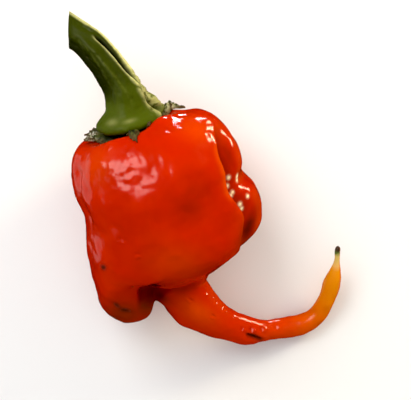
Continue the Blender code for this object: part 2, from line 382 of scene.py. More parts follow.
class Sheet:
    """The nodes of one material."""

    def __init__(self, name: str) -> None:
        """Starts a material with its shader.

        Args:
            name: The material's name.
        """
        self.material = bpy.data.materials.new(name)
        self.material.use_nodes = True
        self.tree = self.material.node_tree
        self.shader = self.tree.nodes["Principled BSDF"]

    def node(self, kind: str, settings: Settings, sockets: Sockets) -> bpy.types.Node:
        """Adds a node.

        Args:
            kind: The node's type.
            settings: Its own settings, which are set first. A ramp's stops are (place, colour).
            sockets: Values or links for its input sockets, by index or name.

        Returns:
            The node.
        """
        made = self.tree.nodes.new(kind)
        for name, value in settings.items():
            if name == "stops":
                self._set_stops(made.color_ramp, value)
            else:
                setattr(made, name, value)
        for name, value in sockets.items():
            self.feed(made.inputs[name], value)
        return made

    def _set_stops(self, ramp: bpy.types.ColorRamp, stops: Sequence[tuple[float, Colour]]) -> None:
        """Gives a colour ramp its stops.

        Args:
            ramp: The ramp.
            stops: Its (place, colour) pairs, from left to right.
        """
        while len(ramp.elements) < len(stops):
            ramp.elements.new(1.0)
        for element, (place, colour) in zip(ramp.elements, stops):
            element.position = place
            element.color = (*colour, 1.0)

    def feed(self, socket: bpy.types.NodeSocket, value: object) -> None:
        """Sets or links a socket.

        Args:
            socket: The input socket.
            value: A number, vector or colour to set it to, or a signal or socket to link it to.
        """
        if isinstance(value, Signal):
            self.tree.links.new(value.socket, socket)
        elif isinstance(value, bpy.types.NodeSocket):
            self.tree.links.new(value, socket)
        elif isinstance(value, tuple) and len(value) == 3 and len(socket.default_value) == 4:
            socket.default_value = (*value, 1.0)
        else:
            socket.default_value = value

    def signal(self, kind: str, settings: Settings, sockets: Sockets, output: int = 0) -> Signal:
        """A node's output as a signal. The arguments are those of node, and the output's index."""
        return Signal(self, self.node(kind, settings, sockets).outputs[output])

    def mask(self, name: str) -> Signal:
        """The named numbers that the mesh keeps for its points."""
        return self.signal("ShaderNodeAttribute", {"attribute_name": name}, {}, 2)

    def place(self) -> bpy.types.NodeSocket:
        """The place on the piece, in metres."""
        return self.node("ShaderNodeTexCoord", {}, {}).outputs["Object"]

    def noise(self, size: float, detail: float = 2.0, rough: float = 0.5, warp: float = 0.0) -> Signal:
        """Cloudy noise from 0 to 1.

        Args:
            size: The width of its patches.
            detail: How many finer layers it has.
            rough: How strong those are.
            warp: How far the patches are pulled about.

        Returns:
            The noise.
        """
        sockets = {"Vector": self.place(), "Scale": 1 / (size * MM), "Detail": detail,
                   "Roughness": rough, "Distortion": warp}
        return self.signal("ShaderNodeTexNoise", {}, sockets)

    def mix(self, share: Number, first: object, second: object) -> bpy.types.NodeSocket:
        """A colour that goes from first to second as share goes from 0 to 1."""
        made = self.node("ShaderNodeMix", {"data_type": "RGBA"}, {0: share, 6: first, 7: second})
        return made.outputs[2]

    def bump(self, height: Signal, depth: float, under: object = None) -> bpy.types.NodeSocket:
        """Fine relief in the shading.

        Args:
            height: The relief, from 0 to 1.
            depth: How deep that is.
            under: The normal of another relief to add to it.

        Returns:
            The normal for the shader.
        """
        sockets = {"Height": height, "Distance": depth * MM, "Strength": 1.0}
        if under is not None:
            sockets["Normal"] = under
        return self.node("ShaderNodeBump", {}, sockets).outputs[0]

    def finish(self, **sockets: object) -> bpy.types.Material:
        """Sets or links the shader's sockets.

        Args:
            sockets: The values or links, named as the sockets are, with _ for a space.

        Returns:
            The material.
        """
        for name, value in sockets.items():
            self.feed(self.shader.inputs[name.replace("_", " ")], value)
        return self.material


class Tint(Enum):
    """What a stretch of the skin turns to, by the name of its mask, painted light and painted shade among
    them.
    """

    # Orange, partly the skin's own and partly painted warm light on the front lobe's rim and on the skin that
    # faces right.
    ORANGE_AND_PAINTED_LIGHT = "warm"
    # Brown on the foot, partly its own and partly painted shade.
    OLIVE_AND_PAINTED_SHADE = "olive"
    # Painted shade in the crease, the folds, the pocket and the shaded stretches.
    SHADE = "shade"
    BRUISE = "bruise"


@dataclass(frozen=True)
class Skin:
    """The pod's waxy skin: red, orange where it is young and where warm light is painted, yellow and brown at
    the tail's end.
    """

    red: Colour = (0.50, 0.014, 0.0006)
    deep_red: Colour = (0.39, 0.011, 0.0006)
    warm_red: Colour = (0.56, 0.024, 0.0006)
    # Also the colour of the painted warm light.
    orange: Colour = (0.66, 0.062, 0.001)
    # The colour of painted shade.
    shade: Colour = (0.11, 0.008, 0.001)
    # The foot's brown, partly its own and partly painted shade.
    olive: Colour = (0.10, 0.022, 0.001)
    bruise: Colour = (0.035, 0.006, 0.001)
    # The colour of the painted glints on the crease's pimples.
    pearl: Colour = (1.0, 0.84, 0.5)
    pearl_gain: float = 1.6
    # The colours from the tail's root to its tip, by the share of the tail that is passed.
    tail_colours: tuple[tuple[float, Colour], ...] = (
        (0.0, (0.52, 0.015, 0.0006)), (0.38, (0.56, 0.022, 0.0006)), (0.55, (0.62, 0.045, 0.0008)),
        (0.66, (0.66, 0.10, 0.001)), (0.76, (0.70, 0.19, 0.002)), (0.895, (0.72, 0.25, 0.004)),
        (0.915, (0.74, 0.42, 0.11)), (0.955, (0.60, 0.45, 0.12)), (0.972, (0.10, 0.16, 0.02)),
        (0.985, (0.045, 0.022, 0.008)),
    )

    def dress(self) -> bpy.types.Material:
        """Makes the skin's finish.

        Returns:
            The material.
        """
        sheet = Sheet("skin")
        clouds = sheet.noise(9.0, 2.0, 0.5, 0.4)
        mottle = sheet.noise(1.6, 3.0, 0.6)
        colour = sheet.mix(clouds.between(0.4, 0.75) * 0.5, self.red, self.deep_red)
        colour = sheet.mix(sheet.noise(6.0, 1.0).between(0.5, 0.75) * 0.4, colour, self.warm_red)
        tail = sheet.mask("tail")
        stops = {"stops": self.tail_colours}
        ramp = sheet.node("ShaderNodeValToRGB", stops, {0: tail + (mottle - 0.5) * 0.03})
        colour = sheet.mix(tail.between(0.0, 0.12), colour, ramp.outputs[0])
        # Then the orange, partly painted warm light, the painted shade, and the foot's brown, partly painted
        # shade.
        for tint, least, more, paint in (
            (Tint.ORANGE_AND_PAINTED_LIGHT, 0.7, 0.3, self.orange), (Tint.SHADE, 0.8, 0.3, self.shade),
            (Tint.OLIVE_AND_PAINTED_SHADE, 0.7, 0.4, self.olive),
        ):
            colour = sheet.mix(sheet.mask(tint.value) * (least + more * mottle), colour, paint)
        fleck = sheet.noise(0.35, 1.0).between(0.62, 0.75)
        colour = sheet.mix(fleck * 0.12, colour, self.deep_red)
        # Painted glints on the pimples in the crease.
        colour = sheet.mix((sheet.mask("pearl") * self.pearl_gain).at_most(1.0), colour, self.pearl)
        bruise = sheet.mask(Tint.BRUISE.value)
        colour = sheet.mix((bruise * (0.55 + 0.9 * mottle)).at_most(0.92), colour, self.bruise)
        pores = sheet.bump(sheet.noise(0.22, 1.0), 0.004)
        normal = sheet.bump(sheet.noise(0.9, 2.0, 0.5), 0.035, pores)
        rough = 0.12 + 0.1 * mottle + 0.35 * bruise + 0.3 * tail.between(0.93, 0.97)
        return sheet.finish(
            Base_Color=colour, Roughness=rough, Normal=normal, IOR=1.45, Specular_IOR_Level=0.22,
            Subsurface_Weight=0.1, Subsurface_Radius=(1.0, 0.12, 0.04), Subsurface_Scale=0.002,
        )


@dataclass(frozen=True)
class Bark:
    """The stem's skin: dark green with pale lines, a pale ridge that is partly painted warm light, painted
    shade on its dark side and in its slit, a painted highlight on the foot's edge, and a drier cut end.
    """

    # Painted shade, for the stem's dark side, its slit and the hollow.
    shade_black: Colour = (0.004, 0.005, 0.0003)
    dark: Colour = (0.026, 0.034, 0.001)
    green: Colour = (0.062, 0.085, 0.003)
    light: Colour = (0.12, 0.14, 0.018)
    # Pale: the ridge, partly painted warm light, a painted highlight on the foot's edge, and pale lumps.
    pale: Colour = (0.66, 0.63, 0.24)
    brown: Colour = (0.08, 0.05, 0.008)
    pith: Colour = (0.55, 0.53, 0.30)

    def dress(self) -> bpy.types.Material:
        """Makes the stem's finish.

        Returns:
            The material.
        """
        sheet = Sheet("bark")
        patches = sheet.noise(3.0, 3.0, 0.55)
        grain = sheet.noise(0.5, 2.0)
        fresh = sheet.mask("foot") * 0.8 + patches * 0.4
        colour = sheet.mix(fresh.at_most(1.0), self.dark, self.green)
        # Painted shade down the stem's dark side.
        colour = sheet.mix(sheet.mask("painted_side_shade") * 0.8, colour, self.shade_black)
        streak = sheet.noise(0.8, 2.0, 0.6).between(0.3, 0.65)
        lines = sheet.mask("lines") * streak * 0.35
        colour = sheet.mix(lines.at_most(1.0), colour, self.light)
        pits = sheet.noise(0.8, 2.0, 0.6).between(0.6, 0.5)
        web = sheet.mask("web")
        pitted = (1 - 0.5 * web) * (1 - 0.8 * (1 - pits) * web)
        # The pale ridge, partly painted warm light, the painted highlight on the foot's edge, and the pale
        # lumps.
        pale = sheet.mask("pale") * (0.6 + 0.5 * grain) * pitted
        colour = sheet.mix((pale * 1.3).at_most(0.97), colour, self.pale)
        # Painted shade in the slit and the hollow.
        colour = sheet.mix(sheet.mask("slit"), colour, self.shade_black)
        colour = sheet.mix(sheet.noise(0.45, 1.0).between(0.66, 0.78) * 0.35, colour, self.brown)
        cut = sheet.mask("cut")
        ring = sheet.mix(cut.between(0.62, 0.8) - cut.between(0.86, 0.97), self.pith, self.light)
        colour = sheet.mix(cut.between(0.0, 0.05), colour, ring)
        fine = sheet.bump(grain, 0.02)
        normal = sheet.bump(patches, 0.08, fine)
        rough = 0.4 + 0.15 * patches + 0.35 * cut.between(0.0, 0.05)
        return sheet.finish(
            Base_Color=colour, Roughness=rough, Normal=normal, IOR=1.42, Specular_IOR_Level=0.08,
            Subsurface_Weight=0.08, Subsurface_Radius=(0.4, 0.6, 0.1), Subsurface_Scale=0.001,
        )


@dataclass(frozen=True)
class Cork:
    """The drying calyx: green, olive and brown, with pale corky lumps and torn edges."""

    green: Colour = (0.012, 0.018, 0.001)
    olive: Colour = (0.075, 0.085, 0.008)
    cream: Colour = (0.52, 0.50, 0.22)
    grey: Colour = (0.55, 0.56, 0.50)
    brown: Colour = (0.075, 0.032, 0.006)

    def dress(self) -> bpy.types.Material:
        """Makes the calyx's finish.

        Returns:
            The material.
        """
        sheet = Sheet("cork")
        patches = sheet.noise(1.4, 3.0, 0.6, 0.6)
        grain = sheet.noise(0.35, 2.0, 0.6)
        colour = sheet.mix(patches.between(0.42, 0.62), self.green, self.olive)
        colour = sheet.mix((sheet.mask("edge") * (0.4 + grain)).at_most(1.0), colour, self.brown)
        crust = sheet.noise(0.7, 2.0, 0.6).between(0.44, 0.56)
        pale = sheet.mask("pale") * (0.2 + grain) * crust * 1.5
        colour = sheet.mix(pale.at_most(1.0), colour, self.cream)
        ashen = sheet.mask("grey") * grain.between(0.45, 0.58) * crust * 0.8
        colour = sheet.mix(ashen, colour, self.grey)
        fine = sheet.bump(grain, 0.05)
        normal = sheet.bump(patches, 0.12, fine)
        return sheet.finish(
            Base_Color=colour, Roughness=0.5 + 0.3 * grain, Normal=normal, Specular_IOR_Level=0.25,
        )


@dataclass(frozen=True)
class Patch:
    """An oval place on the pod, as seen from straight above, and how high or how strong it is."""

    x: float
    y: float
    reach: float
    amount: float = 1.0
    length: float = 0.0
    lean: float = 0.0

    def share(self, points: Array, normals: Array) -> Array:
        """The patch's height or strength.

        Args:
            points: The skin's points.
            normals: The directions out of the skin there.

        Returns:
            The amount at each point.
        """
        turn = math.radians(self.lean)
        off_x, off_y = points[..., 0] - self.x, points[..., 1] - self.y
        along = off_x * math.cos(turn) + off_y * math.sin(turn)
        aside = off_y * math.cos(turn) - off_x * math.sin(turn)
        away = np.hypot(along / max(self.length, self.reach), aside / self.reach)
        return self.amount * bell(away, 1.0) * facing_up(normals, PATCH_SHOWS)


def place_on_top(points: Array, normals: Array, x: float, y: float) -> tuple[int, int]:
    """Finds the skin under a place as seen from straight above.

    Args:
        points: The skin's points.
        normals: The directions out of the skin there.
        x: The place's x.
        y: The place's y.

    Returns:
        The ring of the nearest point that faces up, and its place on the ring.
    """
    away = np.hypot(points[..., 0] - x, points[..., 1] - y)
    away = np.where(normals[..., 2] > FOUND_FROM, away, np.inf)
    row, column = np.unravel_index(int(np.argmin(away)), away.shape)
    return int(row), int(column)


@dataclass(frozen=True)
class Facet:
    """A small flat on the upper skin that is turned to a glance of light, by its turn and tilt."""

    x: float
    y: float
    reach: float
    turn: float
    tilt: float

    def relief(self, points: Array, normals: Array) -> Array:
        """The height along the normals that turns the skin at the flat's place.

        Args:
            points: The skin's points.
            normals: The directions out of the skin there.

        Returns:
            A height for each point.
        """
        here = place_on_top(points, normals, self.x, self.y)
        middle, normal = points[here], normals[here]
        wanted = toward(self.turn, 90.0 - self.tilt)
        lean = float(wanted @ normal)
        slope = (lean * normal - wanted) / lean
        off = points - middle
        return off @ slope * bell(np.sum(off**2, axis=-1), self.reach**2)


@dataclass(frozen=True)
class Groove:
    """A fold in the pod's upper side along a path of (x, y), with its reach to the left and right."""

    path: Path
    depth: float
    reach_left: float
    reach_right: float
    shade: float = 0.0
    # Where along the path it starts and ends, and the share of the path that it fades over.
    run: tuple[float, float, float] = (-0.01, 1.01, 0.2)

    def share(self, points: Array, normals: Array) -> Array:
        """How much of the groove each point has.

        Args:
            points: The skin's points.
            normals: The directions out of the skin there.

        Returns:
            The share, from 0 to 1.
        """
        signed, passed = off_path(points[..., 0], points[..., 1], self.path)
        reach = np.where(signed > 0, self.reach_left, self.reach_right)
        return bell(signed, reach) * fade(passed, *self.run) * facing_up(normals)


@dataclass(frozen=True)
class Furrow:
    """A furrow down the body along a path of (distance down the axis, angle).

    Its widths are those on the side of smaller and of larger angles.
    """

    path: Path
    depth: float
    width_below: float
    width_above: float
    fade_over: float = 3.5

    def share(self, down: Array, out: Array, angles: Array) -> tuple[Array, Array]:
        """How much of the furrow each point has.

        Args:
            down: How far each point is down the axis.
            out: How far it is out from the axis.
            angles: Its angle round the axis, in radians.

        Returns:
            The share from 0 to 1, and how far round from the furrow each point is.
        """
        places = np.array(self.path)
        start, end = places[0, 0], places[-1, 0]
        middle = spline(places[:, 0], places[:, 1:], np.clip(down, start, end).ravel())
        across = turn_between(angles, middle.reshape(down.shape)) * out
        width = np.where(across < 0, self.width_below, self.width_above)
        return bell(across, width) * fade(down, start, end, self.fade_over), across


@dataclass
class Pod:
    """The fruit: a lobed body with a hanging foot and a hooked, tapering tail."""

    ring_gap: float = 0.31
    segments: int = 324
    # The angle at which the points of a ring stand closest, and how much closer.
    crease_angle: float = 30.0
    crowding: float = 0.5
    # Outlines, as (distance down the axis, distance out from it).
    right_outline: Path = (
        (1.9, 0.0), (1.9, 3.3), (1.7, 5.9), (0.2, 7.5), (0.35, 9.6), (1.2, 13.3), (4.9, 16.0), (9.4, 17.2),
        (14.4, 18.0), (19.2, 18.3), (23.9, 17.25), (26.7, 12.9), (28.8, 8.9), (30.1, 7.1), (31.1, 6.1),
    )
    face_outline: Path = (
        (1.9, 0.0), (2.0, 3.5), (1.7, 6.2), (0.3, 7.8), (2.4, 11.2), (6.3, 13.4), (10.2, 14.8), (14.6, 15.0),
        (19.0, 14.9), (23.4, 14.1), (26.6, 12.4), (28.6, 10.0), (29.3, 7.6), (29.4, 5.9), (30.6, 5.0),
    )
    left_outline: Path = (
        (1.9, 0.0), (1.7, 3.5), (1.4, 6.6), (1.3, 8.8), (2.3, 10.7), (5.1, 12.3), (9.2, 13.0), (14.4, 12.5),
        (19.8, 13.75), (24.6, 13.8), (28.2, 12.4), (30.4, 9.9), (31.4, 7.2), (31.9, 5.5), (32.9, 4.7),
    )
    back_outline: Path = (
        (1.9, 0.0), (1.5, 3.5), (1.1, 6.6), (1.2, 9.2), (2.8, 12.2), (6.0, 14.3), (9.8, 15.4), (14.4, 15.8),
        (19.2, 15.6), (23.4, 14.4), (26.6, 12.2), (29.2, 9.4), (30.4, 7.2), (31.2, 5.9), (32.4, 5.3),
    )
    foot_outline: Path = left_outline[:8] + (
        (20.4, 13.75), (26.6, 14.05), (31.4, 14.05), (34.8, 11.6), (36.0, 8.7), (35.0, 5.8), (32.7, 4.3),
    )
    foot_angle: float = 178.0
    foot_spread: float = 27.5
    # The tail from below its root to the dried tip, as (centre, radius).
    tail: Spine = (
        ((4.2, -15.2, 10.0), 4.6), ((6.8, -17.8, 9.0), 3.95), ((9.4, -19.5, 7.5), 3.3),
        ((12.8, -20.8, 5.7), 2.7), ((16.3, -21.7, 4.0), 2.25), ((20.0, -21.5, 2.7), 1.9),
        ((24.6, -20.8, 1.9), 2.0), ((27.4, -19.6, 2.0), 1.7), ((29.35, -17.2, 2.7), 1.65),
        ((30.5, -14.1, 3.8), 1.6), ((31.15, -11.4, 4.8), 1.35), ((31.45, -9.9, 5.4), 0.85),
        ((31.65, -8.7, 5.85), 0.5), ((31.75, -6.9, 6.4), 0.45), ((31.8, -6.0, 6.7), 0.32),
    )
    tail_tip: Point = (31.8, -5.75, 6.8)
    # Furrows down the body. The first is the deep crease beside the front lobe.
    furrows: tuple[Furrow, ...] = (
        Furrow(((3.0, 13), (4.4, 19), (6.2, 25), (8.4, 28), (11.0, 29), (13.0, 30.5), (15.3, 30),
                (17.4, 27.5), (19.5, 26), (21.4, 27.5), (23.8, 29), (27.0, 25)), 2.6, 2.8, 0.75),
        Furrow(((2.0, 160), (6.0, 157), (11.0, 154), (16.0, 152)), 0.5, 2.0, 2.0),
        Furrow(((3.0, 232), (10.0, 238), (20.0, 236), (28.0, 240)), 1.6, 2.4, 2.4),
        Furrow(((3.0, 305), (10.0, 300), (20.0, 304), (27.0, 300)), 1.5, 2.6, 2.2),
    )
    # Swellings and dents, as (distance down the axis, angle, height, reach down, reach across).
    swellings: Table = (
        (14.0, 8, -1.5, 1.9, 6.0),
        (19.5, 4, 0.7, 4.5, 6.5),
        (8.5, 10, 0.5, 4.0, 5.0),
        (15.0, 62, -0.7, 5.0, 4.5),
        (28.6, 121, -3.0, 1.8, 2.6),
    )
    # The swelling of the crown beside the stem's foot, as (angle, distance out from the axis, height,
    # reach out, reach across), and how far down the axis it is gone and whole.
    crown_swelling: tuple[float, ...] = (43, 7.5, 1.3, 1.1, 3.6)
    crown_run: Pair = (4.0, 2.0)
    waves: Waves = ((7.0, 0.07, 11), (3.2, 0.036, 12), (1.5, 0.016, 13))
    # Small lumps by the calyx and under the fold of the tail, and the dent in the blotchy stretch.
    bumps: tuple[Patch, ...] = (
        Patch(-9.4, 11.8, 0.6, 0.2), Patch(14.4, -23.4, 1.0, 0.35, 2.2, -4.0), Patch(-5.8, 7.4, 0.6, -0.14),
    )
    # Flats that glance in the low light, the top light and the window light, as their turn, their
    # tilt, and their places as (x, y, reach).
    glances: tuple[tuple[float, float, Table], ...] = (
        (42.0, 49.0, (
            (7.5, 15.3, 0.7), (7.4, 14.2, 0.6), (7.8, 16.6, 0.7), (9.0, 17.0, 0.5), (7.56, -14.4, 0.6),
            (8.7, -15.1, 0.45), (9.4, -16.1, 0.5), (10.5, -17.1, 0.65), (12.7, -18.7, 0.6),
            (8.7, -18.6, 0.4), (4.5, -15.5, 0.4), (14.8, -19.5, 0.5), (11.0, -17.7, 0.5),
        )),
        (76.0, 57.5, (
            (0.6, 17.2, 0.8), (1.5, 17.3, 0.7), (2.8, 17.7, 0.7), (3.6, 17.8, 0.7), (0.6, 14.6, 0.7),
        )),
        (140.0, 20.0, (
            (-10.0, 12.1, 0.5), (-9.1, 11.9, 0.5), (-7.6, -4.4, 0.5), (-6.8, -4.5, 0.4), (-4.6, -7.0, 0.5),
            (14.2, -21.2, 0.5), (16.0, -21.4, 0.6), (18.0, -21.4, 0.6), (20.6, -21.1, 0.6),
        )),
    )
    # How many times the flats are turned.
    flat_passes: int = 2
    # Pimples in the crease with painted glints on them, as (x, y, reach).
    pearls: Table = (
        (11.4, 6.6, 0.31), (12.85, 6.9, 0.32), (12.8, 6.3, 0.28), (11.2, 5.2, 0.28), (11.95, 4.1, 0.26),
        (11.8, 3.5, 0.3), (13.3, 1.9, 0.32), (13.6, 1.3, 0.28), (14.66, 3.4, 0.26),
    )
    pearl_height: float = 0.12
    # The blotchy stretch of the upper left, and its ripples.
    blotches: Patch = Patch(-6.4, 8.8, 3.6, 1.0, 5.0, -10.0)
    blotch_waves: Waves = ((1.1, 0.036, 14),)
    # Folds: over the tail's root, up the left flank, and across the tail.
    grooves: tuple[Groove, ...] = (
        Groove(((-1.6, -11.9), (0.2, -12.9), (1.9, -13.3), (4.6, -12.9), (6.2, -12.3)), 0.35, 1.8, 0.9, 0.35),
        Groove(((-13.4, 12.0), (-14.2, 8.8), (-14.0, 5.6), (-12.9, 2.4)), 0.3, 0.9, 0.9),
        Groove(((14.5, -22.0), (16.3, -22.5), (18.3, -23.5)), 0.5, 0.28, 0.5, 1.0),
    )
    # The pocket between the foot and the tail's root: its left wall, its lip from left to right, its
    # right end and its lower end, then how deep it is and how sharply it drops.
    pocket_wall: float = -5.0
    pocket_lip: Pair = (-13.0, -11.5)
    pocket_right: Pair = (-2.6, 0.4)
    pocket_foot: Pair = (-17.2, -13.4)
    pocket_depth: float = 3.6
    pocket_edge: float = 0.6
    pocket_shade: float = 0.8
    # Coloured places on the skin, as (x, y, reach, strength, length, lean): bruises, the foot's brown that is
    # partly painted shade, painted shade, and orange that is partly painted warm light.
    tints: tuple[tuple[Tint, Table], ...] = (
        (Tint.BRUISE, (
            (-10.6, -9.1, 0.5, 0.95), (-8.6, -16.2, 0.4, 0.75, 0.8, -50.0),
            (-7.2, -17.2, 0.42, 0.9, 1.0, -8.0), (16.2, -22.5, 0.45, 0.55, 1.2, -32.0),
        )),
        (Tint.OLIVE_AND_PAINTED_SHADE, ((-8.0, -18.4, 3.0, 0.7, 5.0, 10.0), (-3.4, -16.6, 2.0, 0.8, 2.6, 40.0))),
        (Tint.SHADE, (
            (-0.9, -14.8, 1.2, 0.8, 2.0, -20.0), (14.9, -2.4, 1.2, 1.0, 4.0, 70.0),
            (11.2, 10.9, 1.0, 0.5, 2.8, -70.0), (8.0, -9.5, 1.6, 0.25, 5.0, 38.0),
            (4.6, 1.5, 2.6, 0.35, 3.6, 80.0),
        )),
        (Tint.ORANGE_AND_PAINTED_LIGHT, (
            (-11.6, 8.6, 2.6, 0.45, 3.6, 80.0), (6.0, 15.0, 2.4, 0.6, 4.0, -20.0),
            (2.0, -8.0, 3.0, 0.4, 5.0, 0.0), (24.0, -21.6, 1.2, 0.3, 5.0, 6.0),
            (6.0, -17.6, 2.0, 0.8, 4.0, -30.0),
        )),
    )
    crease_shade: float = 0.5
    # The painted rim light, an orange band on the rim of the front lobe above the crease: how far off it is,
    # how wide, and where it starts and ends down the axis and the length that it fades over.
    rim_off: float = 1.5
    rim_reach: float = 0.8
    rim_run: tuple[float, float, float] = (4.0, 17.0, 3.0)
    # Painted warm light: orange on the skin that faces right, how strong, and from which x of the normal to
    # which.
    painted_flank_light: float = 0.5
    flank_facing: Pair = (0.55, 0.95)

    def _body_controls(self, angles: Array) -> list[Array]:
        """Control rings of the body: four outlines blended round the axis, with the foot let in.

        Args:
            angles: The angles of a ring's points, in radians.

        Returns:
            One ring of points for each point of the outlines.
        """
        sides = (
            (self.right_outline, np.cos(angles)), (self.face_outline, np.sin(angles)),
            (self.left_outline, -np.cos(angles)), (self.back_outline, -np.sin(angles)),
        )
        foot = round_share(angles, self.foot_angle, self.foot_spread)[:, None]
        turned = directions(angles, SIDE, FACE)
        rings = []
        for k, foot_point in enumerate(self.foot_outline):
            plain = sum(np.maximum(share, 0)[:, None]**2 * np.array(outline[k]) for outline, share in sides)
            down, out = (plain + foot * (np.array(foot_point) - plain)).T
            rings.append(CROWN + down[:, None] * AXIS + out[:, None] * turned)
        return rings

    def _swell(self, down: Array, out: Array, angles: Array) -> Array:
        """The swellings and dents.

        Args:
            down: How far each point is down the axis.
            out: How far it is out from the axis.
            angles: Its angle round the axis, in radians.

        Returns:
            A height for each point.
        """
        height = np.zeros_like(down)
        for place, angle, swell, reach, spread in self.swellings:
            height += swell * bell(down - place, reach) * bell(turn_between(angles, angle) * out, spread)
        angle, place, swell, reach, spread = self.crown_swelling
        beside = bell(out - place, reach) * bell(turn_between(angles, angle) * out, spread)
        return height + swell * beside * rise_over(down, *self.crown_run)

    def _pocket(self, points: Array, normals: Array) -> Array:
        """The pocket between the foot and the tail.

        Args:
            points: The skin's points.
            normals: The directions out of the skin there.

        Returns:
            How much of the pocket each point has, from 0 to 1.
        """
        x, y = points[..., 0], points[..., 1]
        low, high = self.pocket_lip
        passed = np.clip((x - self.pocket_wall) / (self.pocket_right[1] - self.pocket_wall), 0, 1)
        lip = low + (high - low) * np.sin(passed * math.pi / 2)
        wall = rise_over(x, self.pocket_wall, self.pocket_wall + self.pocket_edge)
        under = rise_over(y, lip, lip - self.pocket_edge)
        right = 1 - rise_over(x, *self.pocket_right)
        return wall * under * right * rise_over(y, *self.pocket_foot) * facing_up(normals)

    def _crinkle(self, points: Array, normals: Array, folds: list[Array]) -> Array:
        """The waves, small lumps, blotches and folds.

        Args:
            points: The skin's points.
            normals: The directions out of the skin there.
            folds: How much of each groove each point has.

        Returns:
            A height for each point.
        """
        height = rippled(points, self.waves) + sum(bump.share(points, normals) for bump in self.bumps)
        height += rippled(points, self.blotch_waves) * self.blotches.share(points, normals)
        return height - sum(groove.depth * share for groove, share in zip(self.grooves, folds))

    def _turn_flats(self, rings: Array) -> Array:
        """Turns the flats to their glances, each pass by what is still missing.

        Args:
            rings: The skin's points.

        Returns:
            The points with the flats.
        """
        facets = [Facet(*flat, turn, tilt) for turn, tilt, flats in self.glances for flat in flats]
        for _ in range(self.flat_passes):
            normals = grid_normals(rings)
            rings = rings + normals * sum(facet.relief(rings, normals) for facet in facets)[..., None]
        return rings

    def build(self) -> bpy.types.Object:
        """Raises the pod's skin, with the masks that its finish reads.

        Returns:
            The new piece.
        """
        even = whole_turn(self.segments)
        angles = even - self.crowding * np.sin(even - math.radians(self.crease_angle))
        controls = self._body_controls(angles)
        root = controls[-1]
        controls.extend(tube_rings(self.tail, angles, 1))
        controls.append(np.tile(self.tail_tip, (self.segments, 1)))
        rings = loft(np.array(controls), self.ring_gap)
        tail_start = int(np.argmin(np.linalg.norm(rings - root, axis=2).mean(axis=1)))
        from_crown = rings - CROWN
        down = from_crown @ AXIS
        out = np.linalg.norm(off_axis(from_crown), axis=2)
        furrows = [furrow.share(down, out, angles) for furrow in self.furrows]
        height = self._swell(down, out, angles)
        for furrow, (share, _) in zip(self.furrows, furrows):
            height -= furrow.depth * share
        height[tail_start:] = 0
        rings = rings + grid_normals(rings) * height[..., None]
        normals = grid_normals(rings)

        folds = [groove.share(rings, normals) for groove in self.grooves]
        pocket = self._pocket(rings, normals)
        crease, across = furrows[0]
        # Painted warm light: a rim light on the front lobe's rim, and orange on the skin that faces right.
        rim = bell(across - self.rim_off, self.rim_reach) * fade(down, *self.rim_run) * facing_up(normals)
        flank = self.painted_flank_light * rise_over(normals[..., 0], *self.flank_facing)
        stains = [
            (Tint.ORANGE_AND_PAINTED_LIGHT, rim), (Tint.ORANGE_AND_PAINTED_LIGHT, flank),
            (Tint.SHADE, self.crease_shade * crease), (Tint.SHADE, self.pocket_shade * pocket),
        ]
        stains += [(Tint.SHADE, groove.shade * share) for groove, share in zip(self.grooves, folds)]
        stains += [(tint, Patch(*row).share(rings, normals)) for tint, rows in self.tints for row in rows]
        masks = {tint.value: np.zeros_like(down) for tint in Tint}
        for tint, share in stains:
            np.maximum(masks[tint.value], share, out=masks[tint.value])

        rings = self._turn_flats(rings + normals * self._crinkle(rings, normals, folds)[..., None])
        normals = grid_normals(rings)
        # Small pimples in the crease, with painted glints on them.
        pearl = np.zeros_like(down)
        for x, y, reach in self.pearls:
            middle = rings[place_on_top(rings, normals, x, y)]
            pearl = np.maximum(pearl, bell(np.linalg.norm(rings - middle, axis=-1), reach))
        rings = rings + normals * (self.pearl_height * pearl)[..., None]
        rings[..., 2] = np.maximum(rings[..., 2] - self.pocket_depth * pocket, 0)
        steps = np.linalg.norm(np.diff(rings.mean(axis=1), axis=0), axis=1)
        steps[:tail_start] = 0
        along = running_total(steps)
        tail = np.broadcast_to((along / along[-1])[:, None], down.shape)
        masks.update(tail=tail, pearl=pearl)
        return grid_mesh("pod_skin", rings, masks, Skin().dress())


